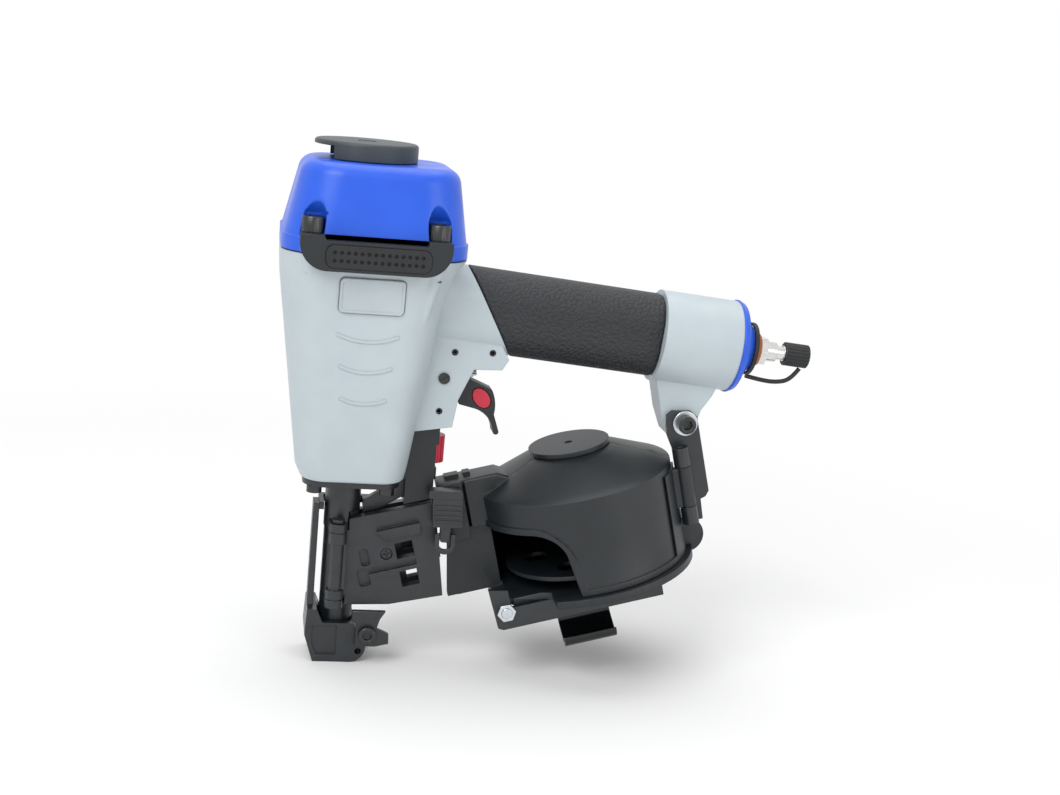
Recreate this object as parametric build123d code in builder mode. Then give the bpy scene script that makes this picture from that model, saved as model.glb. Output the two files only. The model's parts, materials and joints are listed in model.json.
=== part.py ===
"""Coil roofing nailer: the working parts of the tool, one solid per piece, in millimetres.

The driver axis is the Z axis, +X points to the rear (the air plug) and the origin is the centre
of the nail outlet in the bottom face of the contact foot.
"""
from build123d import *
from math import acos, cos, dist, radians, sin, tan
import os

os.makedirs("parts", exist_ok=True)

# ---- driving dimensions (mm) ----
magazine_tilt = 15.0        # the coil is collated at 15 degrees
handle_slope = 4.7          # the handle drops towards the rear
contact_travel = 8.0        # lift of the contact foot
fit = 0.08                  # radial running clearance
gap = 0.3                   # clearance between neighbouring pieces

# die-cast body, as (height, centre x, half length, half width)
body_sections = [
    (93.4, 2.7, 24.2, 24.8),
    (100.0, 1.8, 26.4, 26.8),
    (178.0, 1.5, 36.7, 37.4),
    (186.0, 1.9, 38.2, 38.5),
    (194.0, 3.0, 39.9, 39.8),
    (201.6, 5.4, 42.6, 41.0),
]
body_bottom = body_sections[0][0]
body_top = body_sections[-1][0]
side_slope = 7.7            # lean of the body's flat sides
cap_centre_x = body_sections[-1][1]
gasket_thickness = 0.6
cap_base = body_top + gasket_thickness
cap_flange_top = 209.0
cap_top = 242.3

# drive
sleeve_r = 18.0
sleeve_wall = 2.6
sleeve_bottom = 104.2
sleeve_top = 199.0
drive_stroke = 58.0
piston_bottom = 126.0 + drive_stroke
piston_height = 12.0
blade_r = 4.0
bore_r = 5.3                # nail channel, takes a 10 mm nail head
blade_tip = 8.0 + drive_stroke
foot_floor = 7.2            # thickness of the contact foot's sole
guide_tip = foot_floor + contact_travel + 0.6   # lower end of the driver guide
cap_cavity_r = 30.0

# cap screws
screw_x = (-23.8, 32.6)
screw_y = 36.0
screw_boss_r = 5.2
screw_head_r = 5.0
screw_head_height = 7.1

# handle and rear barrel, measured along the handle's axis from (62, 0, 175.6)
grip_half_height = 20.0
grip_half_width = 17.0
core_half_height = 16.2
core_half_width = 13.2
core_corner = 12.0
barrel_start = 84.3
barrel_end = 122.9
barrel_r = 22.3
air_passage_r = 10.5
plug_seat_r = 17.0

# trigger
trigger_pivot = (42.7, 144.0)
ear_half_width = 14.0
slot_half_width = 6.4
valve_x = 57.0

# contact arm
foot_shoulder = 19.8
wheel_x = 41.2
wheel_r = 6.0

# nose door hinge
door_hinge = (-2.0, -13.0)
hinge_pin_r = 1.6

# magazine, in its own tilted axes
drum_x = 133.8
drum_r = 48.0
drum_wall = 2.5
drum_floor = 18.0
drum_ridge = 65.3
drum_top = 78.4
disc_r = 20.0
seam_y = -7.0
cover_hinge = (185.0, -16.6)

tilt = radians(magazine_tilt)
slope = radians(handle_slope)
lean = radians(side_slope)


def side(y=0.0):
    """Upright plane at y, local axes X and Z, normal towards -Y."""
    return Plane(origin=(0, y, 0), x_dir=(1, 0, 0), z_dir=(0, -1, 0))


def mag_point(x, y, z):
    return (x * cos(tilt) - z * sin(tilt), y, x * sin(tilt) + z * cos(tilt))


def mag_side(y=0.0):
    """Like side(), but turned into the magazine's tilted axes."""
    return Plane(origin=(0, y, 0), x_dir=(cos(tilt), 0, sin(tilt)), z_dir=(0, -1, 0))


def mag_level(z, x=0.0, y=0.0):
    """Plane square to the drum's axis, its origin at a magazine point."""
    up = (-sin(tilt), 0, cos(tilt))
    return Plane(origin=mag_point(x, y, z), x_dir=(cos(tilt), 0, sin(tilt)), z_dir=up)


def mag_across(x, y=0.0, z=0.0):
    """Plane square to the magazine's length, local axes Y and up."""
    return Plane(origin=mag_point(x, y, z), x_dir=(0, 1, 0), z_dir=(cos(tilt), 0, sin(tilt)))


def handle_across(s):
    """Plane square to the handle at distance s along it, local axes Y and up."""
    origin = (62 + s * cos(slope), 0, 175.6 - s * sin(slope))
    return Plane(origin=origin, x_dir=(0, 1, 0), z_dir=(cos(slope), 0, -sin(slope)))


def body_face(z, proud=0.0):
    """Plane lying on the near flat side of the body at height z."""
    low, high = body_sections[1], body_sections[2]
    y = low[3] + (z - low[0]) * (high[3] - low[3]) / (high[0] - low[0])
    normal = Vector(0, -cos(lean), -sin(lean))
    origin = Vector(0, -y, z) + normal * proud
    return Plane(origin=origin, x_dir=(1, 0, 0), z_dir=normal)


def save(piece, name):
    piece.part.label = name
    export_step(piece.part, f"parts/{name}.step")


drum_axis = Axis(mag_point(drum_x, 0, 0), (-sin(tilt), 0, cos(tilt)))
grip_seam = Plane(origin=(62.7, 0, 175.4), x_dir=(0, 1, 0), z_dir=(0.88, 0, 0.475))

# ---------------------------------------------------------------- housing
with BuildPart() as housing:
    # collar that the grip butts against, cut off along the slanted seam
    with BuildSketch(handle_across(-32)):
        RectangleRounded(2 * grip_half_width, 2 * grip_half_height, 15)
    extrude(amount=50)
    split(bisect_by=grip_seam, keep=Keep.BOTTOM)
    # tapered barrel
    for z, centre, half_x, half_y in body_sections:
        with BuildSketch(Plane(origin=(centre, 0, z))):
            RectangleRounded(2 * half_x, 2 * half_y, 0.5 * half_x)
    loft(ruled=True)
    fillet(housing.faces().sort_by(Axis.Z)[0].edges(), 2.0)
    # bosses of the cap screws, fading down into the corners
    for x in screw_x:
        for y, foot_y in ((-screw_y, -31.0), (screw_y, 31.0)):
            with BuildSketch(Plane(origin=(x, y, body_top))):
                Circle(screw_boss_r)
            with BuildSketch(Plane(origin=(0.84 * x, foot_y, 166))):
                Circle(1.5)
            loft()
    # handle core and rear barrel
    with BuildSketch(handle_across(-20)):
        RectangleRounded(2 * core_half_width, 2 * core_half_height, core_corner)
    extrude(amount=barrel_start + 22)
    with BuildSketch(handle_across(barrel_start)):
        Circle(barrel_r)
    extrude(amount=barrel_end - barrel_start)
    # leg that carries the magazine
    with BuildSketch(side()):
        with BuildLine():
            Polyline((146.6, 150), (151.2, 131.5), (155.5, 121.0), (167.5, 120.5),
                     (171, 134), (175.8, 141.5), (179.5, 150), close=True)
        make_face()
    extrude(amount=9, both=True)
    # trigger boss
    with BuildSketch(side()):
        with BuildLine():
            Polyline((24, 116.4), (48.4, 120.4), (50.2, 133.7), (56.6, 148.8),
                     (70, 149.3), (73.0, 154.4), (66.3, 166), (24, 168), close=True)
        make_face()
    extrude(amount=ear_half_width, both=True)
    # air chamber round the cylinder
    with BuildSketch(side()):
        with BuildLine():
            Polyline((0, 104), (20.8, 104), (20.8, 128), (26.5, 150), (32, 185),
                     (32, body_top + 1), (0, body_top + 1), close=True)
        make_face()
    revolve(axis=Axis.Z, mode=Mode.SUBTRACT)
    # driver passage through the floor
    with BuildSketch(Plane.XY.offset(body_bottom - 1)):
        Circle(bore_r + 0.7)
    extrude(amount=20, mode=Mode.SUBTRACT)
    # room for the lifting contact arm under the floor
    with BuildSketch(side()):
        with Locations((20, 94)):
            Rectangle(22, 13)
    extrude(amount=2.9, both=True, mode=Mode.SUBTRACT)
    # air passage of the handle and the seat of the end cap
    with BuildSketch(handle_across(-42)):
        Circle(air_passage_r)
    extrude(amount=42 + barrel_end + 1, mode=Mode.SUBTRACT)
    with BuildSketch(handle_across(barrel_start + 6)):
        Circle(plug_seat_r)
    extrude(amount=barrel_end - barrel_start, mode=Mode.SUBTRACT)
    # trigger slot between the two ears
    with BuildSketch(side()):
        with BuildLine():
            Polyline((34.8, 110), (61, 110), (61, 148.9), (54, 149.5), (34.8, 149.5), close=True)
        make_face()
    extrude(amount=slot_half_width, both=True, mode=Mode.SUBTRACT)
    # valve bore, pivot hole, retaining pin holes and leg bolt hole
    with BuildSketch(Plane(origin=(valve_x, 0, 146))):
        Circle(6)
    extrude(amount=24, mode=Mode.SUBTRACT)
    with BuildSketch(side()):
        with Locations(trigger_pivot):
            Circle(1.5 + fit)
        with Locations((46.9, 156.7), (64.9, 157.3), (41.6, 127.9)):
            Circle(1.6)
    extrude(amount=ear_half_width + 1, both=True, mode=Mode.SUBTRACT)
    with BuildSketch(side()):
        with Locations((162.8, 127.9)):
            Circle(3.1)
    extrude(amount=10, both=True, mode=Mode.SUBTRACT)
    # tapped holes for the cap and the nose
    with BuildSketch(Plane.XY.offset(body_top)):
        with Locations(*[(x, y) for x in screw_x for y in (-screw_y, screw_y)]):
            Circle(2.6)
    extrude(amount=-9, mode=Mode.SUBTRACT)
    with BuildSketch(Plane.XY.offset(body_bottom)):
        with Locations((-14.8, -14), (-14.8, 14), (19.5, -14), (19.5, 14)):
            Circle(2.1)
    extrude(amount=9, mode=Mode.SUBTRACT)
    # flat seat of the nameplate
    with BuildSketch(body_face(184.5, -0.4)):
        with Locations((4.4, 0)):
            RectangleRounded(30, 17, 2.5)
    extrude(amount=6, mode=Mode.SUBTRACT)
    # three curved grip ridges under it
    for top, half, sag in ((166, 13.5, 3.0), (151, 11.5, 2.6), (135.5, 10, 2.2)):
        with BuildSketch(body_face(top, 0.5)):
            with BuildLine(mode=Mode.PRIVATE) as ridge:
                ThreePointArc((3.8 - half, 0), (3.8, -sag), (3.8 + half, 0))
            SlotArc(ridge.edges()[0], 1.5)
        extrude(amount=-2.2)
save(housing, "housing")

# ---------------------------------------------------------------- cap and exhaust
cap_outline = (2 * body_sections[-1][2], 2 * body_sections[-1][3], 0.5 * body_sections[-1][2])
with BuildPart() as cap_gasket:
    with BuildSketch(Plane(origin=(cap_centre_x, 0, body_top))):
        RectangleRounded(cap_outline[0] - 1, cap_outline[1] - 1, cap_outline[2])
        with Locations((-cap_centre_x, 0)):
            Circle(32.5, mode=Mode.SUBTRACT)
        with Locations(*[(x - cap_centre_x, y) for x in screw_x for y in (-screw_y, screw_y)]):
            Circle(2.7, mode=Mode.SUBTRACT)
    extrude(amount=gasket_thickness)
save(cap_gasket, "cap_gasket")

with BuildPart() as cylinder_cap:
    with BuildSketch(Plane(origin=(cap_centre_x, 0, cap_flange_top))):
        RectangleRounded(83.6, 80.2, 21.2)
    with BuildSketch(Plane(origin=(cap_centre_x + 1.2, 0, cap_top))):
        RectangleRounded(71.0, 68.5, 20)
    loft()
    fillet(cylinder_cap.faces().sort_by(Axis.Z)[-1].edges(), 7.5)
    with BuildSketch(Plane(origin=(cap_centre_x, 0, cap_base))):
        RectangleRounded(*cap_outline)
        with Locations(*[(x - cap_centre_x, y) for x in screw_x for y in (-screw_y, screw_y)]):
            Circle(screw_boss_r)
    extrude(amount=cap_flange_top - cap_base)
    # rounded scoops that clear the screw heads and fade out above them
    for x in screw_x:
        for y_side in (-1, 1):
            with BuildSketch(Plane(origin=(x, y_side * screw_y, cap_flange_top))):
                Circle(5.8)
            extrude(amount=10.6, mode=Mode.SUBTRACT)
            with BuildSketch(Plane(origin=(x, y_side * screw_y, cap_flange_top + 10.6))):
                Circle(5.8)
            with BuildSketch(Plane(origin=(x, y_side * (screw_y + 3.5), cap_flange_top + 22))):
                Circle(1.5)
            loft(mode=Mode.SUBTRACT)
    # head valve chamber
    with BuildSketch(Plane.XY.offset(cap_base - 1)):
        Circle(cap_cavity_r)
    extrude(amount=34.5, mode=Mode.SUBTRACT)
    # ring of exhaust ports round the deflector's screw
    with BuildSketch(Plane.XY.offset(230)):
        Circle(2.1)
        with PolarLocations(11.5, 6):
            Circle(3.3)
    extrude(amount=20, mode=Mode.SUBTRACT)
    with BuildSketch(Plane.XY.offset(cap_base)):
        with Locations(*[(x, y) for x in screw_x for y in (-screw_y, screw_y)]):
            Circle(2.7)
    extrude(amount=8, mode=Mode.SUBTRACT)
save(cylinder_cap, "cylinder_cap")

with BuildPart() as cap_screws:
    for x in screw_x:
        for y, seat in ((-screw_y, 211.4), (screw_y, cap_flange_top)):
            with BuildSketch(Plane(origin=(x, y, seat))):
                Circle(screw_head_r)
            extrude(amount=screw_head_height)
            with BuildSketch(Plane(origin=(x, y, seat))):
                Circle(2.4)
            extrude(amount=-16)
            with BuildSketch(Plane(origin=(x, y, seat + screw_head_height))):
                RegularPolygon(2.7, 6)
            extrude(amount=-3.6, mode=Mode.SUBTRACT)
save(cap_screws, "cap_screws")

deflector_base = cap_top + gap
with BuildPart() as exhaust_deflector:
    with BuildSketch(Plane.XY.offset(deflector_base)):
        Circle(24)
    extrude(amount=8.3)
    fillet(exhaust_deflector.faces().sort_by(Axis.Z)[-1].edges(), 1.6)
    # hollow, open on the front side under an overhanging lip
    with BuildSketch(Plane.XY.offset(deflector_base + 1.4)):
        Circle(21.5)
    extrude(amount=4.5, mode=Mode.SUBTRACT)
    with BuildSketch(Plane.XY.offset(deflector_base)):
        Circle(16)
    extrude(amount=3, mode=Mode.SUBTRACT)
    with BuildSketch(Plane.XY.offset(deflector_base - 1)):
        with Locations((-24, 0)):
            Rectangle(20, 36)
    extrude(amount=6.9, mode=Mode.SUBTRACT)
    with BuildSketch(Plane.XY.offset(deflector_base)):
        Circle(6)
    extrude(amount=7)
    with BuildSketch(Plane.XY.offset(deflector_base - 1)):
        Circle(2.5 + fit)
    extrude(amount=12, mode=Mode.SUBTRACT)
    with BuildSketch(Plane.XY.offset(deflector_base + 5.4)):
        Circle(4.6)
    extrude(amount=6, mode=Mode.SUBTRACT)
save(exhaust_deflector, "exhaust_deflector")

with BuildPart() as exhaust_screw:
    with BuildSketch(Plane.XY.offset(deflector_base + 5.6)):
        Circle(4.2)
    extrude(amount=2.4)
    with BuildSketch(Plane.XY.offset(deflector_base + 5.6)):
        Circle(2.5)
    extrude(amount=-5.7)
    with BuildSketch(Plane.XY.offset(deflector_base)):
        Circle(2.0)
    extrude(amount=-6)
    with BuildSketch(Plane.XY.offset(deflector_base + 8)):
        RegularPolygon(2.2, 6)
    extrude(amount=-1.6, mode=Mode.SUBTRACT)
save(exhaust_screw, "exhaust_screw")

# ---------------------------------------------------------------- side bumper and nameplate
with BuildPart() as side_pad_plate:
    with BuildSketch(side(-41.4)):
        with BuildLine():
            l1 = Polyline((-29.3, 211.4), (-29.3, 207.5))
            l2 = ThreePointArc((-29.3, 207.5), (-25.6, 199.2), (-17, 195.7))
            l3 = Line((-17, 195.7), (26, 195.7))
            l4 = ThreePointArc((26, 195.7), (34.5, 199.2), (38.2, 207.5))
            l5 = Polyline((38.2, 207.5), (38.2, 211.4), (28.2, 211.4), (26.8, 209.2),
                          (-17.6, 209.2), (-19.3, 211.4), (-29.3, 211.4))
        make_face()
    extrude(amount=5.6)
    # tabs under the screw heads
    with BuildSketch(Plane.XY.offset(cap_flange_top + 0.1)):
        for x in screw_x:
            with Locations((x, -screw_y)):
                Circle(5.2)
            with Locations((x, -screw_y - 5.1)):
                Rectangle(10.4, 10.2)
    extrude(amount=2.2)
    with BuildSketch(Plane.XY.offset(cap_flange_top)):
        with Locations(*[(x, -screw_y) for x in screw_x]):
            Circle(2.7)
    extrude(amount=4, mode=Mode.SUBTRACT)
    # recess for the rubber insert
    with BuildSketch(side(-47)):
        with Locations((5.6, 202.5)):
            RectangleRounded(47, 10.4, 4)
    extrude(amount=-2.6, mode=Mode.SUBTRACT)
save(side_pad_plate, "side_pad_plate")

with BuildPart() as side_pad_insert:
    with BuildSketch(side(-44.5)):
        with Locations((5.6, 202.5)):
            RectangleRounded(46.8, 10.2, 3.9)
    extrude(amount=3.1)
    # grid of small grip dimples
    with BuildSketch(side(-47.6)):
        with Locations((5.6, 202.5)):
            with GridLocations(3.0, 3.6, 14, 2):
                Circle(0.85)
    extrude(amount=-1.0, mode=Mode.SUBTRACT)
save(side_pad_insert, "side_pad_insert")

with BuildPart() as nameplate:
    with BuildSketch(body_face(184.5, -0.35)):
        with Locations((4.4, 0)):
            RectangleRounded(29.2, 16.2, 2.2)
    extrude(amount=1.5)
    with BuildSketch(body_face(184.5, 1.15)):
        with Locations((4.4, 0)):
            RectangleRounded(26.8, 13.8, 1.4)
    extrude(amount=-0.5, mode=Mode.SUBTRACT)
save(nameplate, "nameplate")

# ---------------------------------------------------------------- drive
with BuildPart() as cylinder_sleeve:
    with BuildSketch(Plane.XY.offset(sleeve_bottom)):
        Circle(sleeve_r + sleeve_wall)
    extrude(amount=sleeve_top - sleeve_bottom)
    # perforated collar that centres the sleeve in the air chamber
    with BuildSketch(Plane.XY.offset(189)):
        Circle(31.8)
        with PolarLocations(26.2, 10):
            Circle(3.2, mode=Mode.SUBTRACT)
    extrude(amount=4)
    with BuildSketch(Plane.XY.offset(sleeve_bottom)):
        Circle(sleeve_r)
    extrude(amount=sleeve_top - sleeve_bottom, mode=Mode.SUBTRACT)
    # seal groove
    with BuildSketch(Plane.XY.offset(112)):
        Circle(sleeve_r + sleeve_wall + 1)
        Circle(19.4, mode=Mode.SUBTRACT)
    extrude(amount=2.6, mode=Mode.SUBTRACT)
    # return air holes above the bumper
    with BuildSketch(Plane(origin=(0, 0, 128), x_dir=(0, 1, 0), z_dir=(1, 0, 0))):
        Circle(1.5)
    extrude(amount=30, both=True, mode=Mode.SUBTRACT)
save(cylinder_sleeve, "cylinder_sleeve")

with BuildPart() as bumper:
    with BuildSketch(side()):
        with BuildLine():
            Polyline((6.5, 104.2), (17.6, 104.2), (17.6, 118), (14.5, 124.4), (8.5, 124.4),
                     (6.5, 121), close=True)
        make_face()
    revolve(axis=Axis.Z)
save(bumper, "bumper")

piston_top = piston_bottom + piston_height
with BuildPart() as piston:
    with BuildSketch(Plane.XY.offset(piston_bottom)):
        Circle(sleeve_r - fit)
    extrude(amount=piston_height)
    with BuildSketch(Plane.XY.offset(piston_bottom + 5)):
        Circle(sleeve_r + 1)
        Circle(16, mode=Mode.SUBTRACT)
    extrude(amount=3, mode=Mode.SUBTRACT)
    with BuildSketch(Plane.XY.offset(piston_top - 5)):
        Circle(12)
    extrude(amount=5, mode=Mode.SUBTRACT)
    with BuildSketch(Plane.XY.offset(piston_bottom)):
        Circle(blade_r + fit)
    extrude(amount=piston_height, mode=Mode.SUBTRACT)
save(piston, "piston")

with BuildPart() as piston_ring:
    with BuildSketch(Plane.XY.offset(piston_bottom + 5.2)):
        Circle(sleeve_r - 0.05)
        Circle(16.1, mode=Mode.SUBTRACT)
    extrude(amount=2.6)
save(piston_ring, "piston_ring")

with BuildPart() as driver_blade:
    with BuildSketch(Plane.XY.offset(blade_tip)):
        Circle(blade_r)
    extrude(amount=piston_bottom + 7 - blade_tip)
    with BuildSketch(Plane.XY.offset(piston_bottom + 7)):
        RegularPolygon(7, 6)
    extrude(amount=3.5)
save(driver_blade, "driver_blade")

with BuildPart() as head_valve:
    with BuildSketch(side()):
        with BuildLine():
            Polyline((10, sleeve_top + gap), (21.5, sleeve_top + gap), (21.5, 204),
                     (cap_cavity_r - fit, 204), (cap_cavity_r - fit, 214), (27, 214),
                     (27, 207), (10, 207), close=True)
        make_face()
    revolve(axis=Axis.Z)
save(head_valve, "head_valve")


def coil_spring(bottom, top, coil_r, wire_r, turns, x=0.0, y=0.0):
    """Upright helical spring between two heights."""
    height = top - bottom - 2 * wire_r
    with BuildPart() as spring:
        with BuildLine() as wire:
            Helix(height / turns, height, coil_r, center=(x, y, bottom + wire_r))
        with BuildSketch(Plane(origin=wire.line @ 0, z_dir=wire.line % 0)):
            Circle(wire_r)
        sweep(is_frenet=True)
    return spring


head_valve_spring = coil_spring(207.4, 235.4, 20, 1.3, 4)
save(head_valve_spring, "head_valve_spring")

# ---------------------------------------------------------------- nose
plate_outline = [(0, 28.4), (25, 29.2), (50.8, 34.6), (43.8, 81.6), (2, 71.3)]
channel_half = 2.7
flange_low = body_bottom - 4.0
with BuildPart() as nose:
    with BuildSketch(Plane(origin=(2.6, 0, flange_low))):
        RectangleRounded(46, 38, 10)
    extrude(amount=body_bottom - flange_low)
    with BuildSketch(Plane.XY.offset(66)):
        Circle(8.6)
    extrude(amount=flange_low - 65)
    with BuildSketch(Plane.XY.offset(guide_tip)):
        Circle(8.2)
    extrude(amount=68 - guide_tip)
    # far side plate of the nail channel
    with BuildSketch(side(channel_half)):
        with BuildLine():
            Polyline(*plate_outline, close=True)
        make_face()
    extrude(amount=-4.9)
    # hinge lugs for the door
    for low, high in ((28.5, 32.6), (66.4, 70.6)):
        with BuildSketch(Plane.XY.offset(low)):
            with Locations(door_hinge):
                Circle(4.4)
            with Locations((-4.1, -8.6)):
                Rectangle(4.4, 8.8)
        extrude(amount=high - low)
    # bore, mouth towards the magazine and opening behind the door
    with BuildSketch(Plane.XY.offset(guide_tip - 1)):
        Circle(bore_r)
    extrude(amount=90, mode=Mode.SUBTRACT)
    with BuildSketch(side()):
        with Locations((10, 41)):
            Rectangle(20, 50)
    extrude(amount=channel_half, both=True, mode=Mode.SUBTRACT)
    with BuildSketch(Plane.XY.offset(32.8)):
        with Locations((3.8, -9)):
            Rectangle(12.2, 10)
    extrude(amount=33.4, mode=Mode.SUBTRACT)
    with BuildSketch(Plane.XY.offset(28.1)):
        with Locations((6.4, -7)):
            Rectangle(7, 6)
    extrude(amount=46.6, mode=Mode.SUBTRACT)
    # groove for the nail heads and window for the feed pawl
    with BuildSketch(mag_side()):
        with Locations((44, 60)):
            Rectangle(52, 8)
    extrude(amount=-5.4, mode=Mode.SUBTRACT)
    with BuildSketch(mag_side()):
        with Locations((30, 41)):
            Rectangle(20, 10)
        with Locations((46.6, 47.3), (46.2, 32.8)):
            Rectangle(5.4, 8)
    extrude(amount=-10, mode=Mode.SUBTRACT)
    # slot for the contact arm, hinge pin and screw holes
    with BuildSketch(side()):
        with Locations((20.4, 90.5)):
            Rectangle(23, 14)
    extrude(amount=2.9, both=True, mode=Mode.SUBTRACT)
    with BuildSketch(Plane.XY.offset(20)):
        with Locations(door_hinge):
            Circle(hinge_pin_r + fit)
    extrude(amount=60, mode=Mode.SUBTRACT)
    with BuildSketch(Plane.XY.offset(80)):
        with Locations((-14.8, -14), (-14.8, 14), (19.5, -14), (19.5, 14)):
            Circle(2.2)
    extrude(amount=16, mode=Mode.SUBTRACT)
save(nose, "nose")

with BuildPart() as nose_screws:
    for x in (-14.8, 19.5):
        for y in (-14, 14):
            with BuildSketch(Plane(origin=(x, y, flange_low))):
                Circle(3.6)
            extrude(amount=-3.4)
            with BuildSketch(Plane(origin=(x, y, flange_low))):
                Circle(1.95)
            extrude(amount=12)
            with BuildSketch(Plane(origin=(x, y, flange_low - 3.4))):
                RegularPolygon(1.9, 6)
            extrude(amount=2, mode=Mode.SUBTRACT)
save(nose_screws, "nose_screws")

with BuildPart() as nose_door:
    with BuildSketch(side(-4.3)):
        with BuildLine():
            Polyline((-2, 33), (-2, 66), (3.3, 66), (3.3, 71.6), (43.9, 81.8), (51.1, 34.6),
                     (25, 29.2), (3.3, 28.4), (3.3, 33), close=True)
        make_face()
    extrude(amount=5.2)
    # raised handle rib near the top
    with BuildSketch(mag_side(-9.5)):
        with BuildLine():
            Polyline((33.2, 60), (54, 60), (54, 54.2), (36.5, 54.2), close=True)
        make_face()
    extrude(amount=3.2)
    # knuckles and the sleeve between them
    for low, high, radius in ((32.9, 37.5, 4.4), (37.5, 60.6, 3.2), (60.6, 66.1, 4.4)):
        with BuildSketch(Plane.XY.offset(low)):
            with Locations(door_hinge):
                Circle(radius)
            with Locations((0.6, -11.2)):
                Rectangle(4, 5)
        extrude(amount=high - low)
    # windows, pockets and the long groove
    with BuildSketch(mag_side(-2)):
        with Locations((44.6, 47.3), (44.3, 32.8)):
            Rectangle(8.6, 8)
    extrude(amount=10, mode=Mode.SUBTRACT)
    with BuildSketch(mag_side(-7.3)):
        with Locations((24.9, 47.6)):
            RectangleRounded(4.4, 8.6, 1.5)
        with Locations((22.6, 37.6)):
            RectangleRounded(5.6, 8.8, 1.5)
        with Locations((37, 40.2)):
            Rectangle(24, 3)
        with Locations((35.6, 47)):
            Circle(2.9)
    extrude(amount=4, mode=Mode.SUBTRACT)
    with BuildSketch(Plane.XY.offset(20)):
        with Locations(door_hinge):
            Circle(hinge_pin_r + fit)
    extrude(amount=60, mode=Mode.SUBTRACT)
save(nose_door, "nose_door")

with BuildPart() as door_screw:
    with BuildSketch(mag_side(-7.3)):
        with Locations((35.6, 47)):
            Circle(2.6)
    extrude(amount=1.6)
    with BuildSketch(mag_side(-8.9)):
        with Locations((35.6, 47)):
            Rectangle(3.6, 0.7)
            Rectangle(0.7, 3.6)
    extrude(amount=-0.8, mode=Mode.SUBTRACT)
save(door_screw, "door_screw")

# the pin stays clear of the lifted foot
door_pin_low = foot_shoulder + contact_travel + 0.5
with BuildPart() as nose_door_pin:
    with BuildSketch(Plane.XY.offset(door_pin_low)):
        with Locations(door_hinge):
            Circle(hinge_pin_r)
    extrude(amount=72.5 - door_pin_low)
    with BuildSketch(Plane.XY.offset(70.9)):
        with Locations(door_hinge):
            Circle(2.8)
    extrude(amount=1.6)
save(nose_door_pin, "nose_door_pin")

# latch on the rear edge of the door
with BuildPart() as door_latch:
    with BuildSketch(side(-12.2)):
        with BuildLine():
            Polyline((41.6, 86), (56.2, 86), (57, 71.5), (42.6, 71.5), close=True)
        make_face()
    extrude(amount=5.2)
    with BuildSketch(side(-11)):
        with Locations((47.7, 87.8)):
            RectangleRounded(16.4, 4, 1)
    extrude(amount=7.2)
    for z in (74.5, 77, 79.5, 82):
        with BuildSketch(side(-17.4)):
            with Locations((49.4, z)):
                Rectangle(13, 1.1)
        extrude(amount=0.7)
    # eye through which the bail passes
    with BuildSketch(side(-12.2)):
        with Locations((49.2, 68)):
            RectangleRounded(5, 9, 1.5)
    extrude(amount=3.4)
    with BuildSketch(Plane(origin=(40, -13.9, 66.5), x_dir=(0, 1, 0), z_dir=(1, 0, 0))):
        Circle(1.3)
    extrude(amount=20, mode=Mode.SUBTRACT)
save(door_latch, "door_latch")

with BuildPart() as latch_bail:
    with BuildSketch(side(-15)):
        with BuildLine():
            Line((44.2, 68), (44.2, 63))
            ThreePointArc((44.2, 63), (49.2, 58), (54.2, 63))
            Line((54.2, 63), (54.2, 68))
            Line((54.2, 68), (52, 68))
            Line((52, 68), (52, 63))
            ThreePointArc((52, 63), (49.2, 60.2), (46.4, 63))
            Line((46.4, 63), (46.4, 68))
            Line((46.4, 68), (44.2, 68))
        make_face()
    extrude(amount=2.2)
    with BuildSketch(Plane(origin=(44.2, -13.9, 66.5), x_dir=(0, 1, 0), z_dir=(1, 0, 0))):
        Circle(1.2)
    extrude(amount=10)
save(latch_bail, "latch_bail")

# ---------------------------------------------------------------- grip, end cap and air plug
with BuildPart() as grip_sleeve:
    with BuildSketch(handle_across(-25)):
        RectangleRounded(2 * grip_half_width, 2 * grip_half_height, 15)
    extrude(amount=25 + barrel_start - gap)
    split(bisect_by=grip_seam.offset(gap), keep=Keep.TOP)
    with BuildSketch(handle_across(-30)):
        RectangleRounded(2 * core_half_width + 0.3, 2 * core_half_height + 0.3, core_corner + 0.1)
    extrude(amount=130, mode=Mode.SUBTRACT)
save(grip_sleeve, "grip_sleeve")

ring_end = barrel_end + 3.5
boss_end = barrel_end + 11.6
seal_end = boss_end + 2.8
hex_end = seal_end + 3.6
with BuildPart() as end_cap:
    with BuildSketch(handle_across(barrel_end - 14)):
        Circle(plug_seat_r - 0.15)
        Circle(air_passage_r + 1.5, mode=Mode.SUBTRACT)
    extrude(amount=14)
    with BuildSketch(handle_across(barrel_end)):
        Circle(23.2)
    with BuildSketch(handle_across(ring_end)):
        Circle(21.6)
    loft()
    with BuildSketch(handle_across(ring_end)):
        Circle(14.5)
    with BuildSketch(handle_across(boss_end)):
        Circle(10.0)
    loft()
    with BuildSketch(handle_across(barrel_end - 15)):
        Circle(6.6)
    extrude(amount=40, mode=Mode.SUBTRACT)
save(end_cap, "end_cap")

# seals of the end cap and of the cylinder's foot
with BuildPart() as air_seals:
    with BuildSketch(handle_across(barrel_end - 16.5)):
        Circle(plug_seat_r - 0.1)
        Circle(air_passage_r + 1, mode=Mode.SUBTRACT)
    extrude(amount=2.4)
    with BuildSketch(side()):
        with Locations((20.05, 113.3)):
            RectangleRounded(1.2, 2.2, 0.5)
    revolve(axis=Axis.Z)
save(air_seals, "air_seals")

with BuildPart() as thread_seal:
    with BuildSketch(handle_across(boss_end)):
        Circle(8.0)
        Circle(6.6, mode=Mode.SUBTRACT)
    extrude(amount=2.8)
save(thread_seal, "thread_seal")

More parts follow.
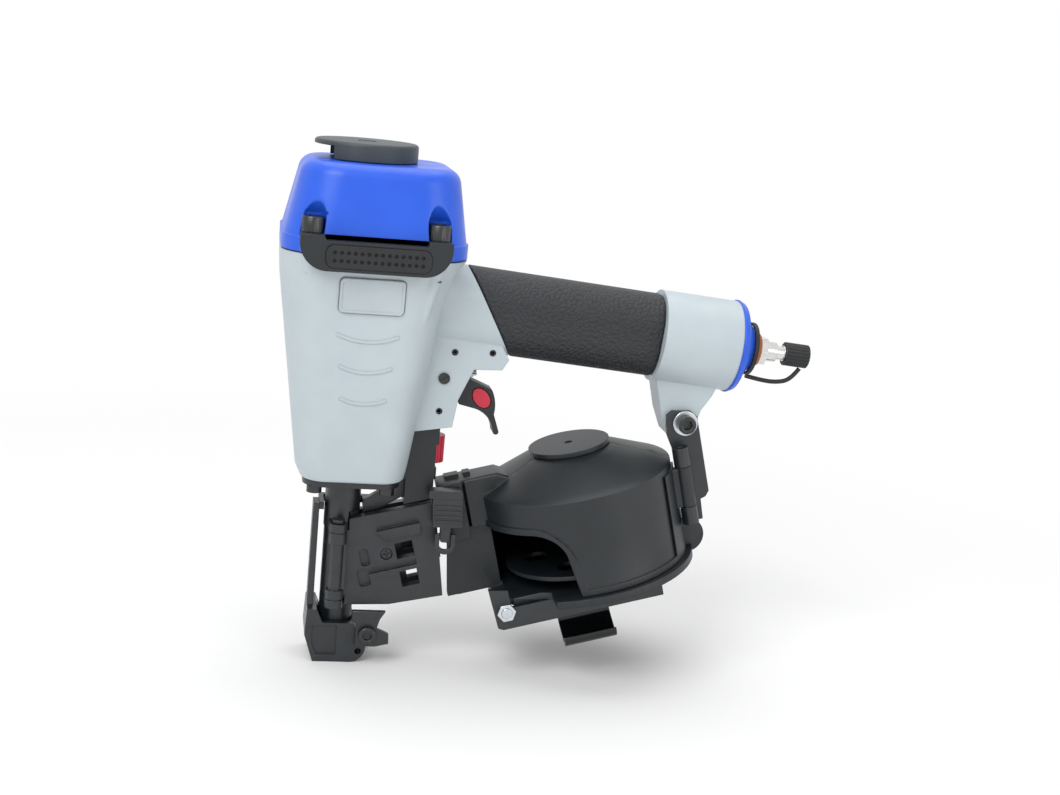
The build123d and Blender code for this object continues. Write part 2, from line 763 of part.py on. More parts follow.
with BuildPart() as air_plug:
    with BuildSketch(handle_across(barrel_end - 4)):
        Circle(6.5)
    extrude(amount=seal_end - barrel_end + 4)
    with BuildSketch(handle_across(seal_end)):
        RegularPolygon(7.4, 6)
    extrude(amount=3.6)
    with BuildSketch(handle_across(hex_end)):
        Circle(4.9)
    extrude(amount=5.6)
    with BuildSketch(handle_across(hex_end + 5.6)):
        Circle(3.5)
    extrude(amount=4.2)
    with BuildSketch(handle_across(hex_end + 9.8)):
        Circle(3.9)
    extrude(amount=7.2)
    with BuildSketch(handle_across(barrel_end - 5)):
        Circle(2.4)
    extrude(amount=45, mode=Mode.SUBTRACT)
save(air_plug, "air_plug")

cap_front = hex_end + 10.4
cap_length = 12.0
with BuildPart() as dust_cap:
    with BuildSketch(handle_across(cap_front)):
        Circle(5.8)
        with PolarLocations(5.95, 20):
            Circle(0.45, mode=Mode.SUBTRACT)
    extrude(amount=cap_length)
    with BuildSketch(handle_across(cap_front)):
        Circle(3.9 + 0.15)
    extrude(amount=9, mode=Mode.SUBTRACT)
save(dust_cap, "dust_cap")

# rubber tether: a ring round the boss and a cord that hangs from it to the dust cap
tether_r = 1.1
tether_points = [(194.4, 150.9), (201.5, 149.3), (210.5, 148.4), (218.0, 150.2), (221.8, 156.1)]
tether_radii = []
for before, corner, after in zip(tether_points, tether_points[1:], tether_points[2:]):
    run_in = dist(before, corner)
    run_out = dist(corner, after)
    along = ((corner[0] - before[0]) * (after[0] - corner[0])
             + (corner[1] - before[1]) * (after[1] - corner[1]))
    turn = acos(along / (run_in * run_out))
    tether_radii.append(0.45 * min(run_in, run_out) / tan(turn / 2))
print("tether corner radii:", [round(radius, 2) for radius in tether_radii])
with BuildPart() as tether_ring:
    with BuildSketch(handle_across(boss_end - 2.6)):
        Circle(13.0)
        Circle(11.6, mode=Mode.SUBTRACT)
    extrude(amount=2.2)
save(tether_ring, "tether_ring")

with BuildPart() as cap_tether:
    with BuildLine(side()) as tether_route:
        FilletPolyline(*tether_points, radius=tether_radii)
    with BuildSketch(Plane(origin=tether_route.line @ 0, z_dir=tether_route.line % 0)):
        Circle(tether_r)
    sweep()
save(cap_tether, "cap_tether")
print("tether length:", round(sum(edge.length for edge in tether_route.edges()), 2))

# ---------------------------------------------------------------- trigger
with BuildPart() as trigger:
    with BuildSketch(side()):
        with Locations(trigger_pivot):
            Circle(4.6)
        with BuildLine():
            Line((42.7, 148.6), (53, 143.6))
            Line((53, 143.6), (67.6, 137.6))
            ThreePointArc((67.6, 137.6), (69.6, 131.0), (69.4, 125.6))
            Line((69.4, 125.6), (72.4, 117.2))
            ThreePointArc((72.4, 117.2), (71.6, 115.8), (69.6, 117.2))
            ThreePointArc((69.6, 117.2), (66.4, 124.0), (60, 128.0))
            Line((60, 128.0), (52, 129.8))
            Line((52, 129.8), (49.6, 134.5))
            Line((49.6, 134.5), (45.4, 139.9))
            Line((45.4, 139.9), (42.7, 148.6))
        make_face()
    extrude(amount=5.2, both=True)
    with BuildSketch(side()):
        with Locations(trigger_pivot):
            Circle(1.5 + fit)
    extrude(amount=8, both=True, mode=Mode.SUBTRACT)
    # seats of the coloured inserts on both cheeks
    for y, depth in ((-5.2, -0.8), (5.2, 0.8)):
        with BuildSketch(side(y)):
            with Locations((62.6, 133.4)):
                Ellipse(5.6, 3.9, rotation=-50)
        extrude(amount=depth, mode=Mode.SUBTRACT)
save(trigger, "trigger")

with BuildPart() as trigger_insert:
    for y, depth in ((-4.5, 1.1), (4.5, -1.1)):
        with BuildSketch(side(y)):
            with Locations((62.6, 133.4)):
                Ellipse(5.4, 3.7, rotation=-50)
        extrude(amount=depth)
save(trigger_insert, "trigger_insert")

with BuildPart() as trigger_pin:
    with BuildSketch(side()):
        with Locations(trigger_pivot):
            Circle(1.5)
    extrude(amount=ear_half_width + 0.4, both=True)
    with BuildSketch(side(-ear_half_width - 0.1)):
        with Locations(trigger_pivot):
            Circle(2.7)
    extrude(amount=0.9)
    with BuildSketch(side(-ear_half_width - 1.0)):
        with Locations(trigger_pivot):
            Rectangle(4.4, 0.8, rotation=30)
    extrude(amount=-0.5, mode=Mode.SUBTRACT)
save(trigger_pin, "trigger_pin")

with BuildPart() as trigger_valve_body:
    with BuildSketch(Plane(origin=(valve_x, 0, 149.3))):
        Circle(5.9)
        Circle(1.75, mode=Mode.SUBTRACT)
    extrude(amount=14.5)
save(trigger_valve_body, "trigger_valve_body")

stem_low = 142.8
with BuildPart() as trigger_valve_stem:
    with BuildSketch(Plane(origin=(valve_x, 0, stem_low))):
        Circle(1.65)
    extrude(amount=20)
    with BuildSketch(Plane(origin=(valve_x, 0, stem_low + 1.0))):
        Circle(3.2)
    extrude(amount=0.8)
save(trigger_valve_stem, "trigger_valve_stem")

trigger_spring = coil_spring(stem_low + 1.9, 149.2, 2.6, 0.4, 4, x=valve_x)
save(trigger_spring, "trigger_spring")

with BuildPart() as roll_pins:
    for place in ((46.9, 156.7), (64.9, 157.3)):
        with BuildSketch(side()):
            with Locations(place):
                Circle(1.5)
                Circle(0.8, mode=Mode.SUBTRACT)
        extrude(amount=ear_half_width - 0.6, both=True)
    for y in (-slot_half_width - 0.2, ear_half_width - 0.6):
        with BuildSketch(side(y)):
            with Locations((41.6, 127.9)):
                Circle(1.5)
                Circle(0.8, mode=Mode.SUBTRACT)
        extrude(amount=ear_half_width - slot_half_width - 0.8)
save(roll_pins, "roll_pins")

# ---------------------------------------------------------------- contact arm
with BuildPart() as contact_foot:
    with BuildSketch(side()):
        with BuildLine():
            Polyline((-14.3, 26.4), (-14.9, 13.4), (-10.4, 0), (7, 0))
            ThreePointArc((7, 0), (12.6, 2.4), (15, 8))
            Polyline((15, 8), (15, 12), (11, 12), (8.8, foot_shoulder), (-6.6, foot_shoulder),
                     (-9.6, 26.4), (-14.3, 26.4))
        make_face()
    extrude(amount=12.6, both=True)
    # pocket for the driver guide and the nail outlet
    with BuildSketch(Plane.XY.offset(foot_floor)):
        Circle(8.6)
    extrude(amount=30, mode=Mode.SUBTRACT)
    with BuildSketch(Plane.XY.offset(19)):
        with Locations((0, 0)):
            Rectangle(17.2, 17.2)
    extrude(amount=10, mode=Mode.SUBTRACT)
    with BuildSketch(Plane.XY.offset(-1)):
        Circle(bore_r + 0.5)
    extrude(amount=12, mode=Mode.SUBTRACT)
    # shallow pocket on both cheeks
    for y, depth in ((-12.6, -1.2), (12.6, 1.2)):
        with BuildSketch(side(y)):
            with BuildLine():
                Polyline((-11.2, 18.3), (-11.4, 9.5), (-9.2, 3.6), (0.6, 3.6), (0.6, 18.3), close=True)
            make_face()
        extrude(amount=depth, mode=Mode.SUBTRACT)
    # upright bar at the front, with the seat of the clamp screw at the back
    with BuildSketch(side()):
        with BuildLine():
            Polyline((-14.3, 24), (-11.2, 24), (-11.2, 77.7), (-14.1, 77.7), close=True)
        make_face()
    extrude(amount=5.2, both=True)
    with BuildSketch(side(-20)):
        with Locations((11.4, 5.6)):
            Circle(1.6)
    extrude(amount=-40, mode=Mode.SUBTRACT)
save(contact_foot, "contact_foot")

with BuildPart() as foot_hook:
    with BuildSketch(side(-12.8)):
        with BuildLine():
            Polyline((7.2, 27.4), (23.5, 27.4), (20.8, 23.0), (19.6, 18.6), (25.5, 16),
                     (25.8, 10.8), (19, 9.2), (9.4, 9.2), (9.4, 21), (7.2, 22), close=True)
        make_face()
    extrude(amount=2.8)
    with BuildSketch(side(-12.8)):
        with Locations((15, 15.6)):
            Circle(2.1)
    extrude(amount=4, mode=Mode.SUBTRACT)
save(foot_hook, "foot_hook")

with BuildPart() as foot_screw:
    with BuildSketch(side(-15.6)):
        with Locations((15, 15.6)):
            Circle(4.3)
    extrude(amount=3.2)
    with BuildSketch(side(-15.6)):
        with Locations((15, 15.6)):
            Circle(2.0)
    extrude(amount=-5)
    with BuildSketch(side(-18.8)):
        with Locations((15, 15.6)):
            RegularPolygon(2.3, 6)
    extrude(amount=-2, mode=Mode.SUBTRACT)
save(foot_screw, "foot_screw")

with BuildPart() as contact_link:
    # yoke round the far side of the nose neck
    with BuildSketch(Plane.XY.offset(74.6)):
        with BuildLine():
            Polyline((-11.2, -4.8), (-11.2, 12.6), (14.2, 12.6), (14.2, -2.2), (9.9, -2.2),
                     (9.9, 9.4), (-9.0, 9.4), (-9.0, -4.8), close=True)
        make_face()
    extrude(amount=3.6)
    # diagonal arm, upright link and shelf
    with BuildSketch(side()):
        with BuildLine():
            Polyline((9.9, 70.8), (9.9, 79.5), (27.5, 90.2), (31.4, 90.8), (31.4, 97),
                     (44, 97), (44, 91.2), (33.4, 91.2), (33.4, 84.6), (26.7, 80.8),
                     (14.2, 73.2), (14.2, 70.8), close=True)
        make_face()
    extrude(amount=2.2, both=True)
    with BuildSketch(Plane(origin=(wheel_x, 0, 96))):
        Circle(2.3)
    extrude(amount=34)
save(contact_link, "contact_link")

with BuildPart() as depth_wheel:
    with BuildSketch(Plane(origin=(wheel_x, 0, 100.2))):
        Circle(wheel_r)
        Circle(2.3 + fit, mode=Mode.SUBTRACT)
        with PolarLocations(wheel_r + 0.25, 18):
            Circle(0.5, mode=Mode.SUBTRACT)
    extrude(amount=13.2)
save(depth_wheel, "depth_wheel")

guard_spring_x = 33.0
with BuildPart() as arm_guard:
    with BuildSketch(side()):
        with BuildLine():
            Polyline((28.8, 79.6), (28.8, 98), (30.6, 116.9), (43.6, 119.2), (43.6, 110),
                     (42.4, 110), (42.4, 83.2), close=True)
        make_face()
    extrude(amount=8, both=True)
    with BuildSketch(side()):
        with BuildLine():
            Polyline((30.4, 78), (30.4, 98), (31.2, 113.3), (42, 116.6), (50, 116.6), (50, 98.6),
                     (45, 98.6), (45, 78), close=True)
        make_face()
    extrude(amount=6.5, both=True, mode=Mode.SUBTRACT)
    with BuildSketch(side()):
        with Locations((28, 87)):
            Rectangle(12, 34)
    extrude(amount=2.8, both=True, mode=Mode.SUBTRACT)
    with BuildSketch(Plane(origin=(wheel_x, 0, 112))):
        Circle(6.5)
    extrude(amount=10, mode=Mode.SUBTRACT)
save(arm_guard, "arm_guard")

contact_spring = coil_spring(97.1, 112.9, 1.3, 0.4, 7, x=guard_spring_x)
save(contact_spring, "contact_spring")

# ---------------------------------------------------------------- nail feed
with BuildPart() as feed_cylinder:
    with BuildSketch(mag_across(39.5, 17.2, 41)):
        RectangleRounded(17, 18, 5)
    extrude(amount=22.5)
    with BuildSketch(mag_side(7.65)):
        with Locations((52, 41)):
            Rectangle(18, 13)
    extrude(amount=-4)
    with BuildSketch(mag_across(42.5, 17.2, 41)):
        Circle(6)
    extrude(amount=17.5, mode=Mode.SUBTRACT)
    with BuildSketch(mag_across(39, 17.2, 41)):
        Circle(2.3)
    extrude(amount=6, mode=Mode.SUBTRACT)
save(feed_cylinder, "feed_cylinder")

with BuildPart() as feed_piston:
    with BuildSketch(mag_across(44.5, 17.2, 41)):
        Circle(6 - fit)
    extrude(amount=5)
    with BuildSketch(mag_across(24, 17.2, 41)):
        Circle(2.2)
    extrude(amount=21)
save(feed_piston, "feed_piston")

with BuildPart() as feed_pawl:
    with BuildSketch(mag_level(38)):
        with BuildLine():
            Polyline((21.5, -1.6), (24.4, -1.6), (27.6, 3), (27.6, 20.8), (21.5, 20.8), close=True)
        make_face()
    extrude(amount=6)
    with BuildSketch(mag_across(20, 17.2, 41)):
        Circle(2.25)
    extrude(amount=12, mode=Mode.SUBTRACT)
save(feed_pawl, "feed_pawl")

# ---------------------------------------------------------------- magazine
shell_profile = [(0, drum_floor - 3.5), (52, drum_floor - 3.5), (52, drum_floor), (drum_r, drum_floor),
                 (drum_r, drum_ridge), (disc_r, drum_top), (0, drum_top)]
inner_r = drum_r - drum_wall
inner_profile = [(0, drum_floor), (inner_r, drum_floor), (inner_r, drum_ridge - 1.6),
                 (disc_r - 1.5, drum_top - drum_wall), (0, drum_top - drum_wall)]


def drum_plane():
    return Plane(origin=mag_point(drum_x, 0, 0), x_dir=(cos(tilt), 0, sin(tilt)), z_dir=(0, -1, 0))


with BuildPart() as magazine_body:
    with BuildSketch(drum_plane()):
        with BuildLine():
            Polyline(*shell_profile, close=True)
        make_face()
    revolve(axis=drum_axis)
    # neck towards the nose
    with BuildSketch(mag_side(-7)):
        with BuildLine():
            Polyline((66, 18), (66, 75), (96, 75), (120, 62), (120, 18), close=True)
        make_face()
    extrude(amount=-15.5)
    # hollow of the drum and the neck
    with BuildSketch(drum_plane()):
        with BuildLine():
            Polyline(*inner_profile, close=True)
        make_face()
    revolve(axis=drum_axis, mode=Mode.SUBTRACT)
    with BuildSketch(mag_side(-8)):
        with BuildLine():
            Polyline((60, 20), (60, 72.5), (95, 72.5), (118, 60), (118, 20), close=True)
        make_face()
    extrude(amount=-14, mode=Mode.SUBTRACT)
    # open the near side for the swinging cover
    with BuildSketch(mag_side(seam_y)):
        with Locations((130, 59)):
            Rectangle(140, 2 * (59 - drum_floor))
    extrude(amount=60, mode=Mode.SUBTRACT)
    # fixed disc on top, centre post and floor
    with BuildSketch(mag_level(drum_top, drum_x)):
        Circle(disc_r)
    extrude(amount=2.4)
    with BuildSketch(mag_level(drum_top - drum_wall, drum_x)):
        with Locations((0, 3)):
            Rectangle(30, 20)
    extrude(amount=drum_wall)
    with BuildSketch(mag_level(drum_floor - 0.5, drum_x)):
        Circle(3)
    extrude(amount=drum_top - drum_floor)
    with BuildSketch(mag_level(drum_top + 1.2, drum_x)):
        Circle(2)
    extrude(amount=3, mode=Mode.SUBTRACT)
    # front frame and lower plate on the near side of the neck
    with BuildSketch(mag_side(seam_y + 2.4)):
        with Locations((71.8, 60.5)):
            Rectangle(11.6, 29)
    extrude(amount=5.2)
    with BuildSketch(mag_side(seam_y + 2.4)):
        with BuildLine():
            Polyline((61, 18.2), (61, 20.3), (65.8, 46.4), (65.8, 51), (88, 51), (88, 18.2), close=True)
        make_face()
    extrude(amount=2.4)
    # the floor's rim is cut back beside the guide rail's front end
    with BuildSketch(mag_level(drum_floor - 4, 0, 0)):
        with BuildLine():
            Polyline((70, -28.9), (104, -28.9), (109, -32), (109, -60), (70, -60), close=True)
        make_face()
    extrude(amount=4.2, mode=Mode.SUBTRACT)
    # guide lugs on top of the neck
    for x, length in ((74, 7), (81.5, 3.5)):
        with BuildSketch(mag_level(75, x, 2)):
            Rectangle(length, 6)
        extrude(amount=1.8)
    # rounded rear boss
    with BuildSketch(mag_side(seam_y)):
        with Locations((183.5, 23)):
            Circle(9)
        with Locations((178, 19)):
            Rectangle(10, 9)
    extrude(amount=-15)
    with BuildSketch(drum_plane()):
        with BuildLine():
            Polyline((0, drum_floor), (inner_r, drum_floor), (inner_r, 40), (0, 40), close=True)
        make_face()
    revolve(axis=drum_axis, mode=Mode.SUBTRACT)
    with BuildSketch(mag_level(drum_floor - 0.5, drum_x)):
        Circle(3)
    extrude(amount=30)
save(magazine_body, "magazine_body")

window_rim = 3.2
with BuildPart() as magazine_cover:
    # raised bead along the window, the lower edge and the rear edge
    with BuildSketch(drum_plane()):
        with BuildLine():
            Polyline((0, 10), (drum_r + 1.1, 10), (drum_r + 1.1, drum_ridge), (0, drum_ridge), close=True)
        make_face()
    revolve(axis=drum_axis)
    with BuildSketch(mag_side()):
        with BuildLine():
            Line((60, 50.5 + window_rim), (104, 50.5 + window_rim))
            ThreePointArc((104, 50.5 + window_rim), (116.5, 46), (121.5, 36))
            Polyline((121.5, 36), (125, 18.4 + window_rim), (173, 18.4 + window_rim), (173, 62),
                     (190, 62), (190, 18.4), (118, 18.4), (60, 18.4), (60, 50.5 + window_rim))
        make_face()
    extrude(amount=60, mode=Mode.INTERSECT)
    with BuildSketch(drum_plane()):
        with BuildLine():
            Polyline(*shell_profile[4:], (0, drum_floor + 0.4), (drum_r, drum_floor + 0.4), close=True)
        make_face()
    revolve(axis=drum_axis)
    # arm and knuckle of the hinge, face of the neck
    with BuildSketch(mag_level(41.5, 179, -17)):
        Rectangle(12, 4)
    extrude(amount=20)
    with BuildSketch(mag_level(41.5, cover_hinge[0], cover_hinge[1])):
        Circle(4)
    extrude(amount=20)
    with BuildSketch(mag_side(seam_y - gap)):
        with BuildLine():
            Polyline((79, 51), (79, 74.6), (95, 74.6), (112, 66), (112, 51), close=True)
        make_face()
    extrude(amount=2.6)
    # hollow
    with BuildSketch(drum_plane()):
        with BuildLine():
            Polyline(*inner_profile, close=True)
        make_face()
    revolve(axis=drum_axis, mode=Mode.SUBTRACT)
    # away with the far half, everything below the floor and the rim under the disc
    with BuildSketch(mag_side(seam_y - gap)):
        with Locations((130, 50)):
            Rectangle(160, 110)
    extrude(amount=-80, mode=Mode.SUBTRACT)
    with BuildSketch(mag_side()):
        with Locations((130, 8.2)):
            Rectangle(160, 20.4)
    extrude(amount=70, mode=Mode.SUBTRACT)
    with BuildSketch(mag_level(60, drum_x)):
        Circle(disc_r - 2.2)
    extrude(amount=30, mode=Mode.SUBTRACT)
    with BuildSketch(mag_level(drum_top - gap, drum_x)):
        Circle(disc_r + 0.4)
    extrude(amount=5, mode=Mode.SUBTRACT)
    # window on the front lower side
    with BuildSketch(mag_side()):
        with BuildLine():
            Line((55, 50.5), (103, 50.5))
            ThreePointArc((103, 50.5), (113.6, 46.4), (118.4, 36))
            Polyline((118.4, 36), (121.6, 18), (55, 18), (55, 50.5))
        make_face()
    extrude(amount=70, mode=Mode.SUBTRACT)
    with BuildSketch(mag_level(30, cover_hinge[0], cover_hinge[1])):
        Circle(1.6 + fit)
    extrude(amount=50, mode=Mode.SUBTRACT)
save(magazine_cover, "magazine_cover")

with BuildPart() as cover_hinge_pin:
    with BuildSketch(mag_level(31.5, cover_hinge[0], cover_hinge[1])):
        Circle(1.6)
    extrude(amount=40.5)
save(cover_hinge_pin, "cover_hinge_pin")

with BuildPart() as magazine_bracket:
    with BuildSketch(side(-9.2)):
        with BuildLine():
            Polyline((153.5, 131), (156, 133.4), (165.4, 133.9), (168.6, 131.6), (178.8, 94.5),
                     (177.6, 91.5), (175.2, 90), (177.5, 80), (169.5, 77.8), (158.5, 114),
                     (154.4, 122), close=True)
        make_face()
    extrude(amount=3)
    # outer knuckles of the cover's hinge
    for low, high in ((32.3, 41.2), (61.8, 71.4)):
        with BuildSketch(mag_level(low, cover_hinge[0], cover_hinge[1])):
            Circle(4)
            with Locations((0, 3)):
                Rectangle(5, 4)
        extrude(amount=high - low)
    with BuildSketch(mag_level(30, cover_hinge[0], cover_hinge[1])):
        Circle(1.6 + 0.02)
    extrude(amount=50, mode=Mode.SUBTRACT)
    with BuildSketch(side()):
        with Locations((162.8, 127.9)):
            Circle(3.1)
    extrude(amount=20, mode=Mode.SUBTRACT)
save(magazine_bracket, "magazine_bracket")

with BuildPart() as bracket_washer:
    with BuildSketch(side(-12.2)):
        with Locations((162.8, 127.9)):
            Circle(6.2)
            Circle(3.1, mode=Mode.SUBTRACT)
    extrude(amount=1.2)
save(bracket_washer, "bracket_washer")

with BuildPart() as bracket_screw:
    with BuildSketch(side(-13.4)):
        with Locations((162.8, 127.9)):
            Circle(4.4)
    extrude(amount=4.4)
    with BuildSketch(side(-13.4)):
        with Locations((162.8, 127.9)):
            Circle(2.95)
    extrude(amount=-25)
    with BuildSketch(side(-17.8)):
        with Locations((162.8, 127.9)):
            RegularPolygon(2.5, 6)
    extrude(amount=-2.6, mode=Mode.SUBTRACT)
save(bracket_screw, "bracket_screw")

# height-adjustable tray that the coil stands on
with BuildPart() as nail_tray:
    with BuildSketch(mag_level(24, drum_x)):
        Circle(41)
        with PolarLocations(26, 6):
            Circle(6, mode=Mode.SUBTRACT)
    extrude(amount=2.2)
    with BuildSketch(mag_level(24, drum_x)):
        Circle(7)
    extrude(amount=26)
    with BuildSketch(mag_level(23, drum_x)):
        Circle(3 + 0.1)
    extrude(amount=30, mode=Mode.SUBTRACT)
save(nail_tray, "nail_tray")

# ---------------------------------------------------------------- shingle guide under the magazine
rail_top = drum_floor - 3.6
with BuildPart() as guide_rail:
    with BuildSketch(mag_side(-28.6)):
        with BuildLine():
            Polyline((79.3, 25.5), (80.7, 5.5), (83, 4.2), (163, 4.2), (163, rail_top),
                     (88.5, rail_top), (88.5, 23.5), close=True)
        make_face()
    extrude(amount=2.6)
    with BuildSketch(mag_side(-28.6)):
        with Locations((127.5, rail_top - 1.2)):
            Rectangle(71, 2.4)
    extrude(amount=-46)
    with BuildSketch(mag_side(-20)):
        with Locations((85.8, 13.4)):
            Circle(2.6)
    extrude(amount=20, mode=Mode.SUBTRACT)
save(guide_rail, "guide_rail")

with BuildPart() as rail_bolt:
    with BuildSketch(mag_side(-26)):
        with Locations((85.8, 13.4)):
            Circle(2.5)
    extrude(amount=9)
    with BuildSketch(mag_side(-28.5)):
        with Locations((85.8, 13.4)):
            Circle(2.9)
    extrude(amount=-1.5)
    # nut, a loose fit on the bolt
    with BuildSketch(mag_side(-31.3)):
        with Locations((85.8, 13.4)):
            RegularPolygon(4.6, 6)
            Circle(2.55, mode=Mode.SUBTRACT)
    extrude(amount=3)
save(rail_bolt, "rail_bolt")

with BuildPart() as shingle_guide:
    with BuildSketch(mag_side(-25)):
        with Locations((124, 10.3)):
            Rectangle(38, 3)
    extrude(amount=-38)
    for x in (108.0, 137.8):
        with BuildSketch(mag_across(x, -18, 4.6)):
            Circle(2.6)
            with Locations((0, 3)):
                Rectangle(5.2, 6)
        extrude(amount=3.2)
    with BuildSketch(mag_across(100, -18, 4.6)):
        Circle(1.3 + fit)
    extrude(amount=50, mode=Mode.SUBTRACT)
save(shingle_guide, "shingle_guide")

with BuildPart() as guide_lever_pin:
    with BuildSketch(mag_across(107, -18, 4.6)):
        Circle(1.3)
    extrude(amount=35)
save(guide_lever_pin, "guide_lever_pin")

# broad spring leaf that waves down to a curled tip
with BuildPart() as guide_lever:
    with BuildSketch(mag_across(111.5, -18, 4.6)):
        Circle(2.9)
        with BuildLine(mode=Mode.PRIVATE) as leaf:
            bow = ThreePointArc((0, 0), (1.9, -4.8), (0, -9.6))
            hollow = TangentArc(bow @ 1, (-6.4, -15.6), tangent=bow % 1)
            curl = TangentArc(hollow @ 1, (-11.2, -12.2), tangent=hollow % 1)
        trace(leaf.edges(), line_width=2.2)
    extrude(amount=26)
    with BuildSketch(mag_across(100, -18, 4.6)):
        Circle(1.3 + fit)
    extrude(amount=50, mode=Mode.SUBTRACT)
save(guide_lever, "guide_lever")
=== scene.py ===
"""Coil roofing nailer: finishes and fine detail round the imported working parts. Metres."""
import bmesh
import bpy
import json
from math import cos, pi, radians, sin
from mathutils import Matrix, Vector


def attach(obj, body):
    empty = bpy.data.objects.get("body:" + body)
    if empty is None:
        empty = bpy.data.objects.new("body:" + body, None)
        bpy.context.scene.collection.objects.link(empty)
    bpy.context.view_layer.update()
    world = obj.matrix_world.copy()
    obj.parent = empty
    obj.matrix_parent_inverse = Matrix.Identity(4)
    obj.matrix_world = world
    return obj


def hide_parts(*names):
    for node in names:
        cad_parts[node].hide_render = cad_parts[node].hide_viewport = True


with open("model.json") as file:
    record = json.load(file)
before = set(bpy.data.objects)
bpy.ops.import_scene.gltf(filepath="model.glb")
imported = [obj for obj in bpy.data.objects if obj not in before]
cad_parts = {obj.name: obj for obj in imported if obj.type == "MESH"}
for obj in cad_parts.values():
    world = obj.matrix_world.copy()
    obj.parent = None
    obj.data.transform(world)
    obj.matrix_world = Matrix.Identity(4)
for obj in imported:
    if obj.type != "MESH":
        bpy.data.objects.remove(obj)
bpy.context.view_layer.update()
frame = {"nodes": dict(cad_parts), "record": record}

MM = 0.001


# ---------------------------------------------------------------- camera
CAMERA_PLACE = (-0.0515, -0.7484, 0.2957)
CAMERA_AZIMUTH = radians(-10.5)
CAMERA_ELEVATION = radians(12.0)
CAMERA_ROLL = radians(5.3)


def set_camera():
    """A long lens, three quarters of a metre from the tool, a little above it and rolled."""
    outward = cos(CAMERA_ELEVATION)
    back = Vector((sin(CAMERA_AZIMUTH) * outward, -cos(CAMERA_AZIMUTH) * outward,
                   sin(CAMERA_ELEVATION)))
    level = Vector((0, 0, 1)).cross(back).normalized()
    upright = back.cross(level)
    right = cos(CAMERA_ROLL) * level + sin(CAMERA_ROLL) * upright
    up = back.cross(right)
    turn = Matrix((right, up, back)).transposed().to_4x4()
    camera = bpy.data.objects.new("camera", bpy.data.cameras.new("camera"))
    camera.data.lens = 54.3
    camera.data.sensor_width = 36.0
    camera.matrix_world = Matrix.Translation(CAMERA_PLACE) @ turn
    bpy.context.scene.collection.objects.link(camera)
    bpy.context.scene.camera = camera


set_camera()


# ---------------------------------------------------------------- finishes
def linear(code):
    """An sRGB hex colour as linear RGBA."""
    shares = [int(code[i:i + 2], 16) / 255 for i in (1, 3, 5)]
    return [s / 12.92 if s <= 0.04045 else ((s + 0.055) / 1.055) ** 2.4 for s in shares] + [1.0]


def per_metre(size_mm):
    """Texture scale whose features are about this many millimetres across."""
    return 1.0 / (size_mm * MM)


def add(tree, kind, values=None, links=None, **settings):
    """Adds one shader node with its settings, socket values and incoming links."""
    node = tree.nodes.new("ShaderNode" + kind)
    for key, value in settings.items():
        setattr(node, key, value)
    for key, value in (values or {}).items():
        node.inputs[key].default_value = value
    for key, source in (links or {}).items():
        tree.links.new(source, node.inputs[key])
    return node


def new_finish(name, roughness, metallic=0.0, ior=None):
    """An empty material: its tree, shader and object coordinates."""
    material = bpy.data.materials.new(name)
    material.use_nodes = True
    tree = material.node_tree
    tree.nodes.clear()
    shader = add(tree, "BsdfPrincipled", {"Roughness": roughness, "Metallic": metallic})
    if ior:
        shader.inputs["IOR"].default_value = ior
    add(tree, "OutputMaterial", links={"Surface": shader.outputs[0]})
    place = add(tree, "TexCoord").outputs["Object"]
    return material, tree, shader, place


def tint(tree, shader, place, shade, other, patch_mm):
    """Colour that drifts between two shades in patches of a real size."""
    patches = add(tree, "TexNoise", {"Scale": per_metre(patch_mm), "Detail": 4.0},
                  {"Vector": place})
    ramp = add(tree, "ValToRGB", links={"Fac": patches.outputs["Fac"]})
    ramp.color_ramp.elements[0].position = 0.32
    ramp.color_ramp.elements[1].position = 0.68
    ramp.color_ramp.elements[0].color = linear(shade)
    ramp.color_ramp.elements[1].color = linear(other)
    tree.links.new(ramp.outputs["Color"], shader.inputs["Base Color"])


def relief(tree, shader, height, depth_mm, strength, edge_mm):
    """Surface relief over softly rounded edges."""
    edge = add(tree, "Bevel", {"Radius": edge_mm * MM}, samples=4)
    bump = add(tree, "Bump", {"Strength": strength, "Distance": depth_mm * MM},
               {"Height": height, "Normal": edge.outputs[0]})
    tree.links.new(bump.outputs["Normal"], shader.inputs["Normal"])


def gloss_drift(tree, shader, place, low, high, patch_mm):
    """Roughness that drifts between two values, as handling and casting leave it."""
    patches = add(tree, "TexNoise", {"Scale": per_metre(patch_mm), "Detail": 3.0},
                  {"Vector": place})
    spread = add(tree, "MapRange",
                 {"From Min": 0.3, "From Max": 0.7, "To Min": low, "To Max": high},
                 {"Value": patches.outputs["Fac"]})
    tree.links.new(spread.outputs["Result"], shader.inputs["Roughness"])


def enamelled_casting(name, shade, other, gloss):
    """Baked enamel over a die casting: an even satin colour with a faint orange peel."""
    material, tree, shader, place = new_finish(name, gloss, ior=1.5)
    tint(tree, shader, place, shade, other, 22)
    gloss_drift(tree, shader, place, gloss - 0.05, gloss + 0.06, 14)
    # orange peel is near 0.5 mm, drawn at 0.9 mm so that it shows
    peel = add(tree, "TexNoise", {"Scale": per_metre(0.9), "Detail": 3.0}, {"Vector": place})
    relief(tree, shader, peel.outputs["Fac"], 0.05, 0.35, 0.7)
    return material


def textured_nylon(name, shade, other, roughness):
    """Glass-filled nylon from a spark-eroded mould: a fine even grain that scatters the light."""
    material, tree, shader, place = new_finish(name, roughness, ior=1.53)
    tint(tree, shader, place, shade, other, 9)
    # eroded grain is near 0.1 mm, drawn at 0.8 mm so that it shows
    grain = add(tree, "TexNoise", {"Scale": per_metre(0.8), "Detail": 5.0, "Roughness": 0.6},
                {"Vector": place})
    relief(tree, shader, grain.outputs["Fac"], 0.09, 0.55, 0.5)
    return material


